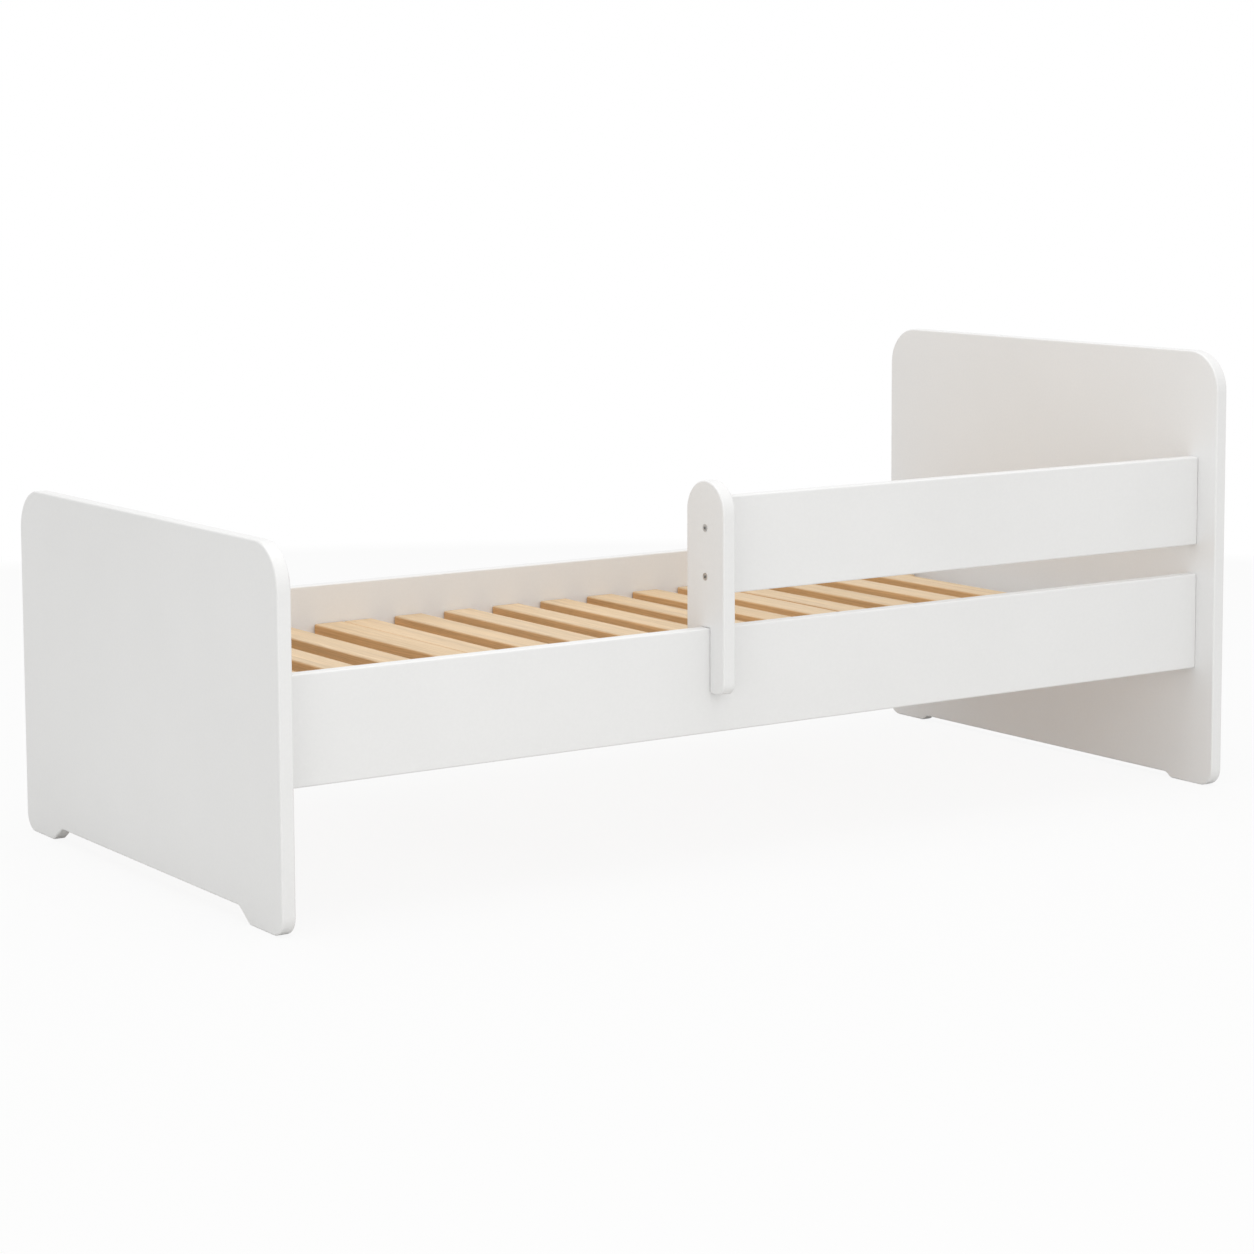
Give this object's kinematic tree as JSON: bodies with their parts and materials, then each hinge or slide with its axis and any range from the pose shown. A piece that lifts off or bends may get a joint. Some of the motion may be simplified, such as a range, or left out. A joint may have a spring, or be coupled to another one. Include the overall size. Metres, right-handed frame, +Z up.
{
  "type": "toddler bed",
  "caption": "Low child's bed with solid rounded end panels, side rails, a slatted pine base and a fall guard along the head half of one side.",
  "frame": {"origin": "on the floor under the middle of the bed", "axes": "+X along the bed to the head end, +Y from the guarded front side to the back side, +Z up"},
  "size_m": [1.64, 0.79, 0.674],
  "materials": {
    "white_lacquer": "satin white lacquer on wood board",
    "pine": "planed bare pine, straight grain",
    "zinc_steel": "bright zinc plated screws and bolts",
    "cam_metal": "cast zinc cam locks",
    "beech": "bare beech dowels"
  },
  "bodies": {
    "root": {"foot_panel": "white_lacquer", "head_panel": "white_lacquer", "front_side_rail": "white_lacquer", "back_side_rail": "white_lacquer", "guard_board": "white_lacquer", "guard_post": "white_lacquer", "front_slat_ledge": "pine", "back_slat_ledge": "pine", "slat_01": "pine", "slat_02": "pine", "slat_03": "pine", "slat_04": "pine", "slat_05": "pine", "slat_06": "pine", "slat_07": "pine", "slat_08": "pine", "slat_09": "pine", "slat_10": "pine", "slat_11": "pine", "slat_12": "pine", "slat_13": "pine", "slat_14": "pine", "slat_15": "pine", "slat_16": "pine", "slat_17": "pine", "guard_post_screws": "zinc_steel", "cam_bolts": "zinc_steel", "front_ledge_screws": "zinc_steel", "back_ledge_screws": "zinc_steel", "front_slat_screws": "zinc_steel", "back_slat_screws": "zinc_steel", "cam_locks": "cam_metal", "wood_dowels": "beech"}
  },
  "joints": []
}
